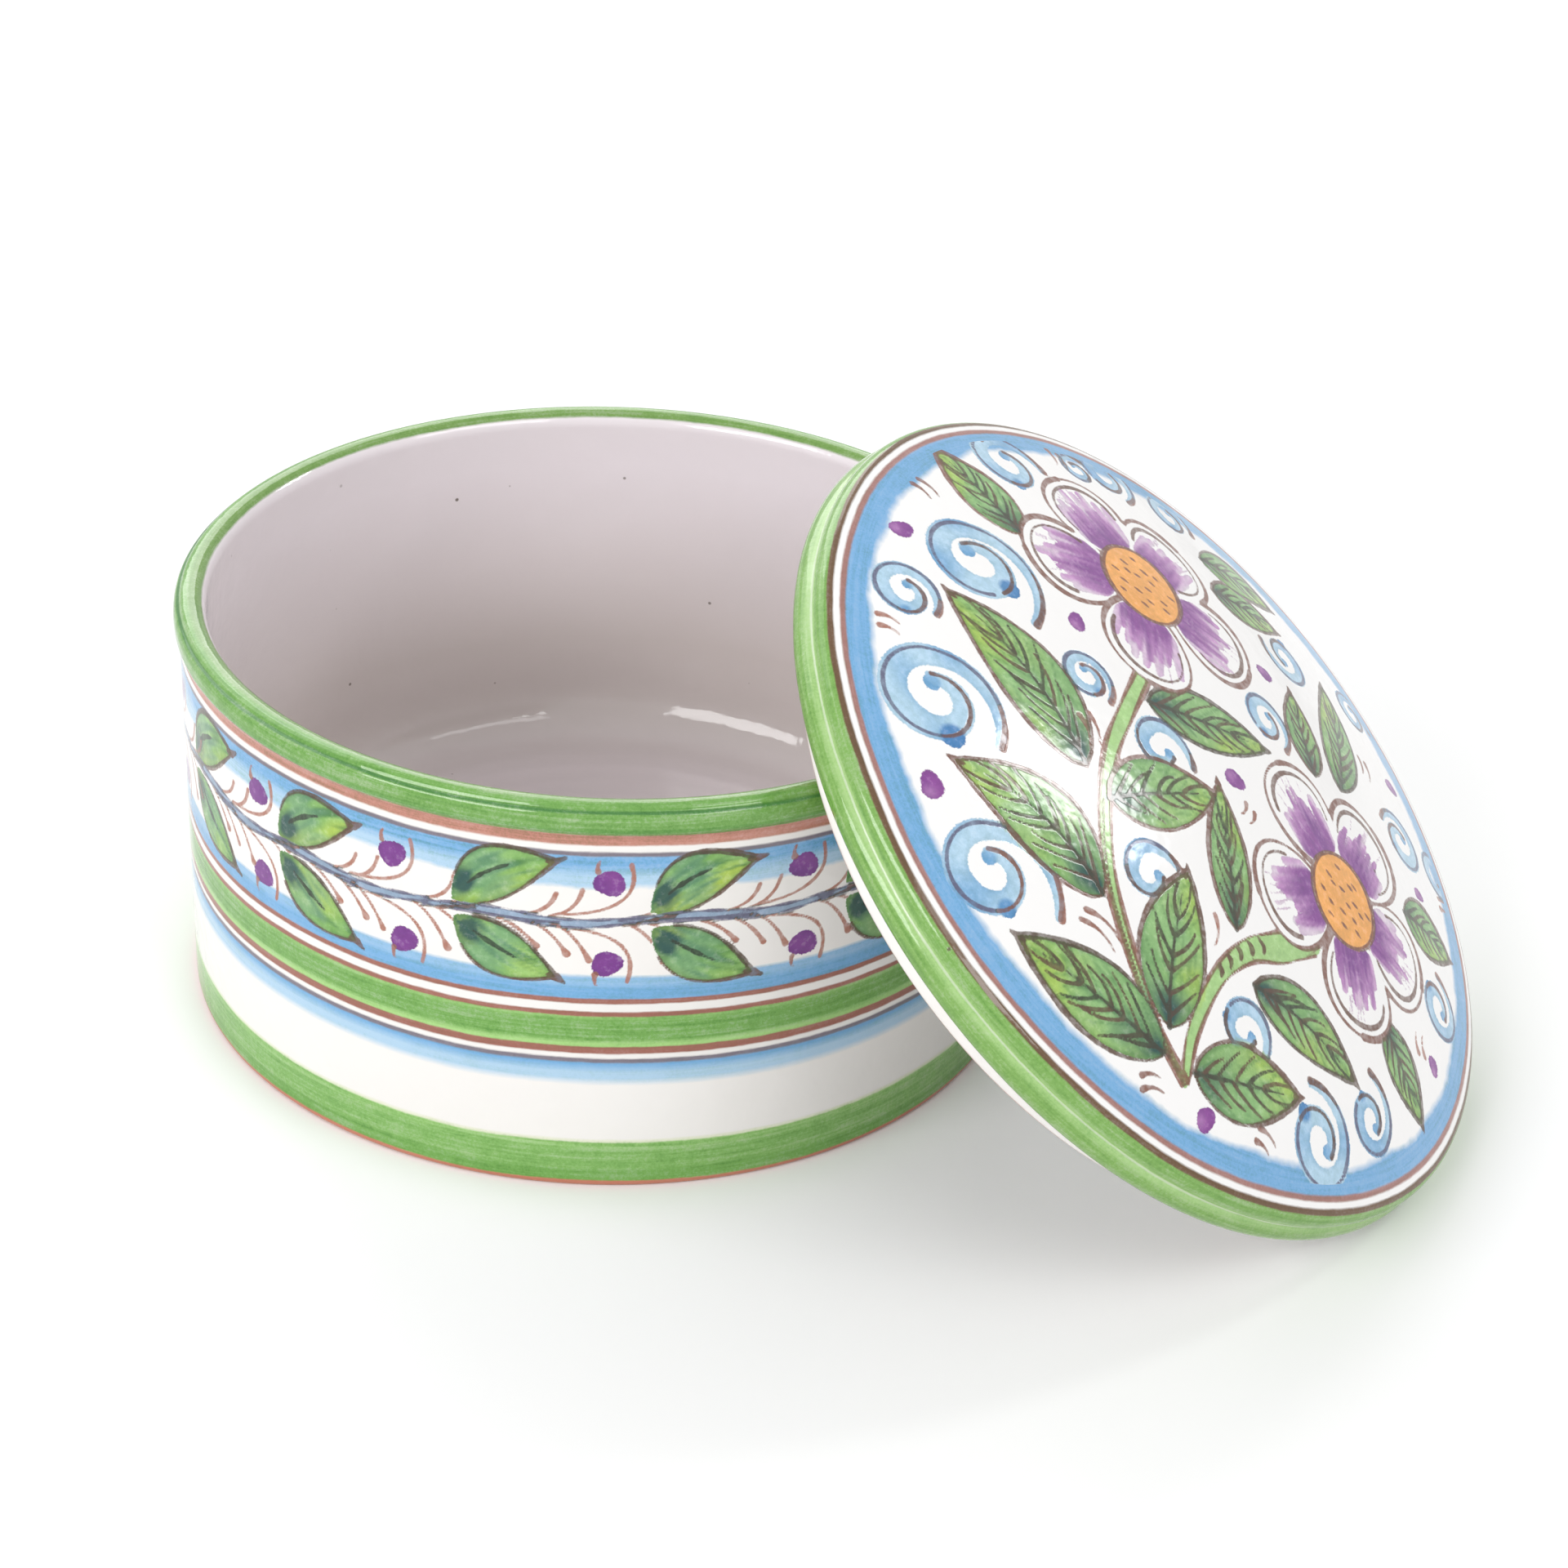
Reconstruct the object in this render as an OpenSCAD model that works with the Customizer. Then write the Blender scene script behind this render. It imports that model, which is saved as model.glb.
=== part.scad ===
// Round majolica box with a loose domed lid, both turned from white-glazed clay.
// The box stands on its foot ring. The lid is off and leans on the box's rim,
// with its lower edge beside the box on the same table.
// Origin: centre of the foot ring on the table. +Z is up, +X points to the leaning lid.
// Each piece is one pot, so each is one outline, drawn as [radius, height] and revolved.

/* [Box] */
// Diameter over the rolled rim
rim_d = 130; // [105:1:180]
// Height from the table to the crest of the rim
box_h = 64; // [45:1:80]
// Thickness of the wall
wall_t = 4; // [3:0.5:7]
// How much narrower the wall's radius is at the foot than under the rim
wall_taper = 0.8; // [0:0.1:2]
// Thickness of the floor above the recess in the foot
floor_t = 4.6; // [3:0.2:8]
// Radius of the hollow corner between floor and wall
floor_cove_r = 9; // [4:0.5:16]

/* [Rolled rim] */
// How far the rolled rim stands out from the wall
rim_out = 0.8; // [0.4:0.1:1.4]
// Height of the rolled rim, from its crest to its lower edge
rim_h = 4.5; // [4:0.1:7]
// Radius of the rim's rounded lower edge
rim_lower_r = 1.1; // [0.5:0.1:1.4]
// Radius of the fine groove round the rim's shoulder
groove_r = 0.45; // [0.2:0.05:0.8]
// Angle of that groove above the level, seen from the centre of the roll
groove_angle = 46; // [20:1:70]

/* [Foot] */
// Width of the foot ring that stands on the table
foot_w = 7; // [4:0.5:12]
// Depth of the recess inside the foot ring
foot_recess_h = 1.4; // [0.6:0.1:3]
// Radius of the foot's rounded outer edge
foot_edge_r = 0.9; // [0.3:0.1:1.5]

/* [Lid] */
// How far the lid's edge stands out past the box's rim
lid_overhang = 1.3; // [0:0.1:3]
// Thickness of the dome
lid_t = 4.6; // [3:0.2:7]
// Height of the dome's top above the lid's seat
lid_h = 19; // [15:0.2:30]
// Height at which the dome would meet the lid's side, above the seat
dome_edge_h = 8.3; // [7:0.1:10]
// Radius of the lower roll of the lid's edge
lower_roll_r = 2.7; // [1.8:0.1:3.2]
// Radius of the upper roll of the lid's edge
upper_roll_r = 2.1; // [1.4:0.1:2.6]
// How far the upper roll steps back from the lower one
roll_step = 0.4; // [0.1:0.1:1]
// Radius of the hollow corner between the dome and the flange
lid_cove_r = 3; // [1:0.5:5]

/* [Lid flange] */
// Depth of the flange that drops into the mouth
flange_h = 6.8; // [4:0.2:12]
// Thickness of the flange
flange_t = 3.8; // [2.8:0.2:6]
// Gap all round between the flange and the wall of the box
flange_gap = 2.2; // [0.6:0.1:3]
// Radius of the flange's rounded lower edges
flange_edge_r = 1.3; // [0.5:0.1:1.3]

/* [Lean] */
// Share of the lid's diameter that lies between the table and the rim it leans on
lean_share = 0.72; // [0.66:0.01:0.8]
// Gap left between the leaning lid and the rim of the box
lean_gap = 0.2; // [0.1:0.05:1]
// Gap left between the leaning lid's lower edge and the table
table_gap = 0.1; // [0:0.05:0.5]

/* [Hidden] */
$fn = 240;

// One overrun serves every cut
over = 1;

// Wall, rim and foot of the box
rim_r = rim_d / 2;
wall_r = rim_r - rim_out;
inner_r = wall_r - wall_t;
roll_r = (wall_t + rim_out) / 2;
roll_x = rim_r - roll_r;
roll_z = box_h - roll_r;
rim_low_z = box_h - rim_h;
foot_r = wall_r - wall_taper;
foot_in_r = foot_r - foot_w;
floor_z = foot_recess_h + floor_t;

// Edge and dome of the lid, with heights from its seat on the rim.
// The upper roll touches the dome from inside, where the shoulder begins.
lid_r = rim_r + lid_overhang;
lower_x = lid_r - lower_roll_r;
upper_x = lid_r - roll_step - upper_roll_r;
dome_rise = lid_h - dome_edge_h;
dome_r = (pow(upper_x, 2) + pow(dome_rise, 2)) / (2 * dome_rise);
dome_z = lid_h - dome_r;
upper_z = dome_z + sqrt(pow(dome_r - upper_roll_r, 2) - pow(upper_x, 2));

// Flange and hollow under the lid. The cove touches the ceiling and the flange.
flange_r = inner_r - flange_gap;
flange_in_r = flange_r - flange_t;
ceiling_r = dome_r - lid_t;
cove_x = flange_in_r - lid_cove_r;
cove_z = dome_z + sqrt(pow(ceiling_r - lid_cove_r, 2) - pow(cove_x, 2));

// Tilt and height of the leaning lid: a taller box tilts it more, and its lower roll
// or its flange comes down to the table
lean_angle = asin(box_h / (lean_share * 2 * lid_r));
roll_low = lower_x * sin(lean_angle) - lower_roll_r * cos(lean_angle) + lower_roll_r;
flange_edge_x = flange_r - flange_edge_r;
flange_edge_z = flange_h - flange_edge_r;
flange_low = flange_edge_x * sin(lean_angle) + flange_edge_z * cos(lean_angle) + flange_edge_r;
lid_z = max(roll_low, flange_low) + table_gap;

// Place of the leaning lid: it slides in towards the box until its flange meets the rim.
// rim_gap is the gap between the flange, when the lid's middle is at x, and the stretch of
// the rim at angle a round the box. The flange is a core with rounded edges, and the rim
// a round rod, so the gap is taken from the rod's centre to the core.
function along_lid(x, a) = (roll_x * cos(a) - x) * cos(lean_angle) - (roll_z - lid_z) * sin(lean_angle);
function above_seat(x, a) = (roll_x * cos(a) - x) * sin(lean_angle) + (roll_z - lid_z) * cos(lean_angle);
function rim_gap(x, a) = norm([
    max(abs(norm([along_lid(x, a), roll_x * sin(a)]) - flange_mid_r) - flange_core, 0),
    max(-flange_edge_z - above_seat(x, a), 0)
]) - roll_r - flange_edge_r;
function least_gap(x) = min([for (i = [0:lean_steps]) rim_gap(x, 90 * i / lean_steps)]);
// halves the stretch between a place that is too near and one that is clear
function lean_place(near, clear, halvings) =
    halvings == 0 ? clear :
    let (middle = (near + clear) / 2)
    least_gap(middle) < lean_gap
        ? lean_place(middle, clear, halvings - 1)
        : lean_place(near, middle, halvings - 1);
flange_mid_r = flange_r - flange_t / 2;
flange_core = flange_t / 2 - flange_edge_r;
lean_steps = 360;
lean_halvings = 16;
lid_x = lean_place(0, rim_r + lid_r, lean_halvings);

// Region inside a circle of radius r about the dome's centre, above the height z,
// from the axis out to the line from the dome's centre through [x, z]
module cap(r, x, z) {
    top_z = dome_z + r + over;
    intersection() {
        translate([0, dome_z])
            circle(r = r);
        polygon([[0, z], [x, z], [x * (top_z - dome_z) / (z - dome_z), top_z], [0, top_z]]);
    }
}

// Waste outside a rounded outer corner at [x, z] of radius r.
// way is 1 where the clay lies inwards of the corner and -1 where it lies outwards.
module lower_corner_waste(x, z, r, way) {
    difference() {
        translate([x - way * r, z + r])
            rotate(way > 0 ? -90 : 180)
                square(r + over);
        translate([x - way * r, z + r])
            circle(r = r);
    }
}

// Solid clay of the box, from the axis out to its outer face
module box_outer_outline() {
    difference() {
        polygon([
            [0, 0],
            [foot_r, 0],
            [foot_r, foot_edge_r],
            [wall_r, rim_low_z],
            [wall_r, roll_z],
            [0, roll_z]
        ]);
        lower_corner_waste(foot_r, 0, foot_edge_r, 1);
    }
    // the rim is rolled outwards: a full round on top of a short rounded skirt
    translate([roll_x, roll_z])
        circle(r = roll_r);
    translate([roll_x, rim_low_z + rim_lower_r])
        square([rim_r - roll_x, roll_z - rim_low_z - rim_lower_r]);
    translate([rim_r - rim_lower_r, rim_low_z + rim_lower_r])
        circle(r = rim_lower_r);
}

// Hollow of the box, with its coved floor corner
module box_hollow_outline() {
    translate([0, floor_z + floor_cove_r])
        square([inner_r, box_h]);
    translate([0, floor_z])
        square([inner_r - floor_cove_r, floor_cove_r + over]);
    translate([inner_r - floor_cove_r, floor_z + floor_cove_r])
        circle(r = floor_cove_r);
}

// Box: foot ring, wall and rolled rim are one fired piece
module box_body() {
    color("ivory")
        rotate_extrude()
            difference() {
                box_outer_outline();
                box_hollow_outline();
                // recess inside the foot ring
                translate([0, -over])
                    square([foot_in_r, foot_recess_h + over]);
                // fine groove round the shoulder of the rim
                translate([
                    roll_x + roll_r * cos(groove_angle),
                    roll_z + roll_r * sin(groove_angle)
                ])
                    circle(r = groove_r);
            }
}

// Solid clay of the lid above its seat: dome, shoulder and the two rolls of its edge
module lid_outer_outline() {
    cap(dome_r, upper_x, upper_z);
    polygon([[0, 0], [lower_x, 0], [lower_x, lower_roll_r], [upper_x, upper_z], [0, upper_z]]);
    translate([lower_x, lower_roll_r])
        circle(r = lower_roll_r);
    translate([upper_x, upper_z])
        circle(r = upper_roll_r);
}

// Flange that drops into the mouth of the box, with rounded lower edges
module flange_outline() {
    difference() {
        translate([flange_in_r, -flange_h])
            square([flange_t, flange_h + over]);
        lower_corner_waste(flange_r, -flange_h, flange_edge_r, 1);
        lower_corner_waste(flange_in_r, -flange_h, flange_edge_r, -1);
    }
}

// Hollow under the dome, with a cove where it meets the flange
module lid_hollow_outline() {
    cap(ceiling_r, cove_x, cove_z);
    translate([cove_x, cove_z])
        circle(r = lid_cove_r);
    translate([0, -over])
        square([flange_in_r, cove_z + over]);
}

// Lid as it sits on the box, with the middle of its seat at the origin
module lid_seated() {
    rotate_extrude()
        union() {
            difference() {
                lid_outer_outline();
                lid_hollow_outline();
            }
            flange_outline();
        }
}

// Lid off the box, leaning on its rim
module lid() {
    color("honeydew")
        translate([lid_x, 0, lid_z])
            rotate([0, lean_angle, 0])
                lid_seated();
}

box_body();
lid();
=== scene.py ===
# Looks of a round majolica box with its lid off.
# The two turned pieces get a painted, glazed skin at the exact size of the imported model.
# Each skin is one closed mesh of rings, and a painter written in numpy lays leaves, flowers,
# scrolls and brush lines on its vertices. The shaders paint the bands and finish the brush edges.

import math

import bpy
import numpy as np
from mathutils import Matrix


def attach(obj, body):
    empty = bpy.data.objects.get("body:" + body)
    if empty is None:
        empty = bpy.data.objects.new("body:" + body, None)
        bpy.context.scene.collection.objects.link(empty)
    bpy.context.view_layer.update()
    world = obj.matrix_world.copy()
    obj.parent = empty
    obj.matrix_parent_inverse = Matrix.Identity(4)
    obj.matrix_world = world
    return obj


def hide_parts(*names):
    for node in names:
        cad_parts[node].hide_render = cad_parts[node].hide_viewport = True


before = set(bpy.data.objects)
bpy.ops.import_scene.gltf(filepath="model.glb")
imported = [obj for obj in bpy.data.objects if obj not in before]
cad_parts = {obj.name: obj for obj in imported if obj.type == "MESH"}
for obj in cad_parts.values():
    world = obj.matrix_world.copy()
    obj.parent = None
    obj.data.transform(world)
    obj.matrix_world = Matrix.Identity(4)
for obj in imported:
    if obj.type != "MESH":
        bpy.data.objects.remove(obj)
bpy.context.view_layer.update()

MM = 0.001
TAU = 2 * math.pi

# Real sizes in millimetres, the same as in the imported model
RIM_R, BOX_H, WALL_R, INNER_R = 65, 64, 64.2, 60.2
ROLL_R, RIM_LOW_Z, RIM_LOWER_R = 2.4, 59.5, 1.1
FOOT_R, FOOT_IN_R, RECESS, FOOT_EDGE_R = 63.4, 56.4, 1.4, 0.9
FLOOR_Z, FLOOR_COVE_R = 6, 9
LID_R, LOWER_R, UPPER_R, STEP = 66.3, 2.7, 2.1, 0.4
DOME_R, DOME_Z = 195.5572, -176.5572
FLANGE_R, FLANGE_IN_R, FLANGE_H, FLANGE_EDGE_R = 58, 54.2, 6.8, 1.3
LID_T, LID_COVE_R = 4.6, 3
LID_X, LID_Z, LEAN = 82.3971, 43.4903, math.radians(42.0944)

# Stretch of the wall that carries the garland, and the radius it is drawn at
GARLAND_LOW, GARLAND_HIGH, GARLAND_R = 33.4, 57, 64

# Fine groove on the rim's shoulder: its angle on the roll, and the glazed dip's depth and spread
GROOVE_ANGLE, GROOVE_DIP, GROOVE_SPREAD = 46, 0.26, 7.5

# Rings of the painted dome, all one step apart
PAINT_STEP, PAINT_RINGS = 0.4, 148


# Colours

def srgb(r, g, b):
    """linear colour of an ordinary 0 to 255 one"""
    c = np.array([r, g, b], float) / 255
    return np.where(c <= 0.04045, c / 12.92, ((c + 0.055) / 1.055) ** 2.4)


def blend(a, b, share):
    """colour a with a share of b in it"""
    share = np.asarray(share)[..., None]
    return a * (1 - share) + b * share


WHITE = srgb(238, 235, 232)
# The lid's white is the same glaze as the box's, painted lighter: painted light on the lid.
LID_WHITE_PAINTED_LIGHT = srgb(243, 242, 241)
# Inside the box the white is painted darker than outside, and darker still down the wall and on the
# floor: partly the glaze's pinkish tint, mostly painted shade.
INNER_WHITE_PAINTED_SHADE = srgb(232, 225, 229)
INNER_LOW_PAINTED_SHADE = srgb(201, 193, 190)
FLOOR_WHITE_PAINTED_SHADE = srgb(224, 216, 218)
GREEN = srgb(114, 167, 79)
GREEN_LIGHT = srgb(163, 207, 126)
GREEN_YELLOW = srgb(182, 204, 66)
GREEN_DARK = srgb(46, 112, 52)
TEAL = srgb(22, 74, 74)
STEM_GREEN = srgb(172, 212, 138)
STEM_GREY = srgb(150, 170, 196)
BLUE = srgb(112, 168, 214)
BLUE_LIGHT = srgb(172, 204, 228)
BLUE_DARK = srgb(58, 126, 186)
SKY = srgb(184, 216, 238)
PURPLE = srgb(146, 70, 156)
PURPLE_LIGHT = srgb(206, 150, 206)
PURPLE_DARK = srgb(116, 44, 138)
ORANGE = srgb(248, 172, 84)
CLAY = srgb(196, 120, 96)
SEA_GREEN = srgb(112, 158, 134)
LID_GREEN = srgb(124, 168, 84)
LID_GREEN_LIGHT = srgb(162, 199, 128)
TERRA = srgb(190, 130, 114)
OLIVE = srgb(104, 76, 50)
BROWN = srgb(156, 98, 84)
RED_BROWN = srgb(150, 96, 84)
GREY_LINE = srgb(120, 112, 124)
BARE_CLAY = srgb(186, 112, 88)
BARE_CLAY_PALE = srgb(212, 150, 122)
PINHOLE = srgb(92, 80, 66)

# Tones of the brush lines, as shares of the top one
TOP_TONE = 1.5
LINE_TONES = (
    (0, srgb(178, 116, 96)),
    (0.333, srgb(116, 74, 60)),
    (0.667, srgb(44, 60, 42)),
    (1, srgb(104, 100, 124)),
)


# Outlines of the turned pieces, as rows of [radius, height]

def unit(angle):
    return np.stack([np.cos(angle), np.sin(angle)], -1)


def arc(cx, cz, r, a0, a1, step):
    n = max(3, int(abs(math.radians(a1 - a0)) * r / step) + 1)
    return np.array([cx, cz]) + r * unit(np.radians(np.linspace(a0, a1, n)))


def line(x0, z0, x1, z1, step):
    n = max(2, int(math.hypot(x1 - x0, z1 - z0) / step) + 1)
    t = np.linspace(0, 1, n)[:, None]
    return np.array([x0, z0]) * (1 - t) + np.array([x1, z1]) * t


def join(*parts):
    rows = np.concatenate(parts)
    keep = [0]
    for i in range(1, len(rows)):
        if np.hypot(*(rows[i] - rows[keep[-1]])) > 0.04:
            keep.append(i)
    return rows[keep]


def arc_length(rows):
    return np.concatenate([[0], np.cumsum(np.hypot(*np.diff(rows, axis=0).T))])


def nearest_row(rows, r, z):
    return int(np.argmin(np.hypot(*(rows - (r, z)).T)))


def box_rows():
    """outline of the box from the middle of its foot, over the rim, to the middle of its floor"""
    roll_x = RIM_R - ROLL_R
    roll_z = BOX_H - ROLL_R
    # close rows only where the wall is painted with a brush
    low_z, high_z = FOOT_EDGE_R + 0.3, RIM_LOW_Z - 0.5
    wall_z = np.concatenate([
        np.arange(low_z, GARLAND_LOW - 0.5, 2.8),
        np.arange(GARLAND_LOW, GARLAND_HIGH, 0.36),
        np.arange(GARLAND_HIGH, high_z - 0.3, 0.7),
        [high_z],
    ])
    wall = np.stack([np.interp(wall_z, [low_z, high_z], [FOOT_R, WALL_R]), wall_z], -1)
    low = arc(RIM_R - RIM_LOWER_R, RIM_LOW_Z + RIM_LOWER_R, RIM_LOWER_R, -62, 0, 0.3)
    roll = arc(roll_x, roll_z, ROLL_R, 0, 180, 0.25)
    # glaze fills the fine groove round the shoulder to about half its depth
    away = roll - (roll_x, roll_z)
    angle = np.degrees(np.arctan2(away[:, 1], away[:, 0]))
    dip = GROOVE_DIP * np.exp(-((angle - GROOVE_ANGLE) / GROOVE_SPREAD) ** 2)
    roll -= away / ROLL_R * dip[:, None]
    cove = arc(INNER_R - FLOOR_COVE_R, FLOOR_Z + FLOOR_COVE_R, FLOOR_COVE_R, 0, -90, 0.9)
    return join(
        line(0, RECESS, FOOT_IN_R - 0.6, RECESS, 8),
        arc(FOOT_IN_R - 0.6, RECESS - 0.6, 0.6, 90, 0, 0.3),
        arc(FOOT_IN_R + 0.4, 0.4, 0.4, 180, 270, 0.2),
        line(FOOT_IN_R + 0.5, 0, FOOT_R - FOOT_EDGE_R - 0.1, 0, 1.8),
        arc(FOOT_R - FOOT_EDGE_R, FOOT_EDGE_R, FOOT_EDGE_R, -90, 0, 0.25),
        wall, low, roll,
        line(INNER_R, roll_z - 0.3, INNER_R, FLOOR_Z + FLOOR_COVE_R + 0.3, 4),
        cove,
        line(INNER_R - FLOOR_COVE_R - 0.8, FLOOR_Z, 0, FLOOR_Z, 3.6),
    )


def dome_at(radius, r):
    return DOME_Z + np.sqrt(radius ** 2 - r ** 2)


def lid_rows():
    """outline of the lid from its top over the two rolls to the middle of its hollow"""
    lower = np.array([LID_R - LOWER_R, LOWER_R])
    upper_x = LID_R - STEP - UPPER_R
    upper = np.array([upper_x, dome_at(DOME_R - UPPER_R, upper_x)])
    shoulder = math.asin(upper_x / (DOME_R - UPPER_R))
    # the rolls cross in a valley, which the glaze rounds out
    gap = np.hypot(*(upper - lower))
    along = (gap ** 2 + UPPER_R ** 2 - LOWER_R ** 2) / (2 * gap)
    side = math.sqrt(UPPER_R ** 2 - along ** 2)
    down = (lower - upper) / gap
    valley = upper + down * along + np.array([-down[1], down[0]]) * side
    v_up = math.degrees(math.atan2(*(valley - upper)[::-1]))
    v_low = math.degrees(math.atan2(*(valley - lower)[::-1]))
    r = np.arange(PAINT_STEP, PAINT_RINGS * PAINT_STEP + 0.01, PAINT_STEP)
    r = np.concatenate([[0], r, np.linspace(r[-1] + 0.45, DOME_R * math.sin(shoulder) - 0.2, 11)])
    dome = np.stack([r, dome_at(DOME_R, r)], -1)
    ceiling_r = DOME_R - LID_T
    cove_x = FLANGE_IN_R - LID_COVE_R
    cove_z = dome_at(ceiling_r - LID_COVE_R, cove_x)
    cove_share = cove_x / (ceiling_r - LID_COVE_R)
    c = np.linspace(ceiling_r * cove_share - 1.5, 0, 16)
    ceiling = np.stack([c, dome_at(ceiling_r, c)], -1)
    e = FLANGE_EDGE_R
    return join(
        dome,
        arc(*upper, UPPER_R, 90 - math.degrees(shoulder), v_up + 7, 0.24),
        [valley + np.array([0.12, 0])],
        arc(*lower, LOWER_R, v_low - 6, -90, 0.33),
        line(LID_R - LOWER_R - 0.4, 0, FLANGE_R + 0.35, 0, 1.2),
        line(FLANGE_R, -0.35, FLANGE_R, -FLANGE_H + e, 1.3),
        arc(FLANGE_R - e, -FLANGE_H + e, e, 0, -90, 0.4),
        arc(FLANGE_IN_R + e, -FLANGE_H + e, e, -90, -180, 0.4),
        line(FLANGE_IN_R, -FLANGE_H + e + 0.4, FLANGE_IN_R, cove_z, 1.8),
        arc(cove_x, cove_z, LID_COVE_R, 0, math.degrees(math.acos(cove_share)), 0.6),
        ceiling,
    )


# Meshes made of rings

def ring_mesh(rows, counts, wobble=None):
    """points, triangles and, for each triangle, the row it starts from"""
    start = np.concatenate([[0], np.cumsum(counts)])
    pts = []
    for (r, z), n in zip(rows, counts):
        a = np.arange(n) / n * TAU
        ring = (r + (wobble(a, z) if wobble and r > 1 else 0)) * unit(a).T
        pts.append(np.stack([*ring, np.full(n, z)], -1))
    tris = []
    rows_of = []
    for j, (na, nb) in enumerate(zip(counts[:-1], counts[1:])):
        sa, sb = start[j:j + 2]
        k = np.arange(max(na, nb))
        k2 = (k + 1) % len(k)
        if na == nb:
            t = np.concatenate([
                np.stack([sa + k, sa + k2, sb + k2], -1),
                np.stack([sa + k, sb + k2, sb + k], -1),
            ])
        elif na == 1:
            t = np.stack([sa + 0 * k, sb + k2, sb + k], -1)
        elif nb == 1:
            t = np.stack([sa + k, sa + k2, sb + 0 * k], -1)
        else:
            # a zip between rings of different counts, always on the side that lags behind
            t = []
            i = k = 0
            while i < na or k < nb:
                a0, b0 = sa + i % na, sb + k % nb
                if k >= nb or (i < na and (i + 1) / na <= (k + 1) / nb):
                    t.append((a0, sa + (i + 1) % na, b0))
                    i += 1
                else:
                    t.append((a0, sb + (k + 1) % nb, b0))
                    k += 1
        tris.append(t)
        rows_of.append(np.full(len(t), j))
    return np.concatenate(pts), np.concatenate(tris), np.concatenate(rows_of)


def new_object(name, data):
    obj = bpy.data.objects.new(name, data)
    bpy.context.scene.collection.objects.link(obj)
    return obj


def new_mesh(name, pts, tris):
    mesh = bpy.data.meshes.new(name)
    mesh.from_pydata(pts * MM, [], tris)
    mesh.validate()
    mesh.shade_smooth()
    return new_object(name, mesh)


def add_attribute(obj, name, values):
    kind, key = ("FLOAT", "value") if np.ndim(values) == 1 else ("FLOAT_VECTOR", "vector")
    layer = obj.data.attributes.new(name, kind, "POINT")
    layer.data.foreach_set(key, np.asarray(values, np.float32).ravel())


def bake_map(obj, pts, tris, rows_of, length, charts):
    """UV map for baked textures: a disc or a strip for each stretch of the outline.
    A disc is (x, y, radius, whether it starts in its middle), a strip (x, y, width, height)."""
    angle = np.arctan2(pts[:, 1], pts[:, 0]) % TAU
    on_axis = np.hypot(pts[:, 0], pts[:, 1])[tris] < 1e-6
    corner = np.where(on_axis, np.nan, angle[tris])
    corner = np.where(on_axis, np.nanmax(corner, axis=1)[:, None], corner)
    wraps = np.ptp(corner, axis=1) > math.pi
    corner = np.where(wraps[:, None] & (corner < math.pi), corner + TAU, corner)
    uv = np.zeros((len(tris), 3, 2))
    for low, high, kind, where in charts:
        pick = (rows_of >= low) & (rows_of < high)
        s, a = length[tris][pick], corner[pick]
        t = (s - s.min()) / np.ptp(s)
        if kind == "disc":
            cx, cy, size, inside = where
            uv[pick] = (cx, cy) + size * (t if inside else 1 - t)[..., None] * unit(a)
        else:
            # the strip is cut in two halves, one above the other
            x0, y0, w, h = where
            half = np.floor(a.mean(axis=1) / math.pi)[:, None] % 2
            turn = a % TAU - half * math.pi
            turn = np.clip(np.where(turn > 1.5 * math.pi, turn - TAU, turn), 0, math.pi)
            turn = np.where((half == 1) & (a >= TAU - 1e-6), math.pi, turn)
            uv[pick] = np.stack([x0 + w * turn / math.pi, y0 + h * (t + 1.06 * half)], -1)
    layer = obj.data.uv_layers.new(name="OFBake")
    layer.data.foreach_set("uv", uv.astype(np.float32).ravel())


# Painting. Distances are in millimetres, and negative inside a shape.

PAINT = ("fill", "fill_d", "line_d", "tone")
FAR = 5.0


def unpainted(n):
    """the wash's colour, the distances to a wash and to a line, and the line's tone, on bare glaze"""
    return np.tile(WHITE, (n, 1)), np.full(n, FAR), np.full(n, FAR), np.zeros(n)


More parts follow.
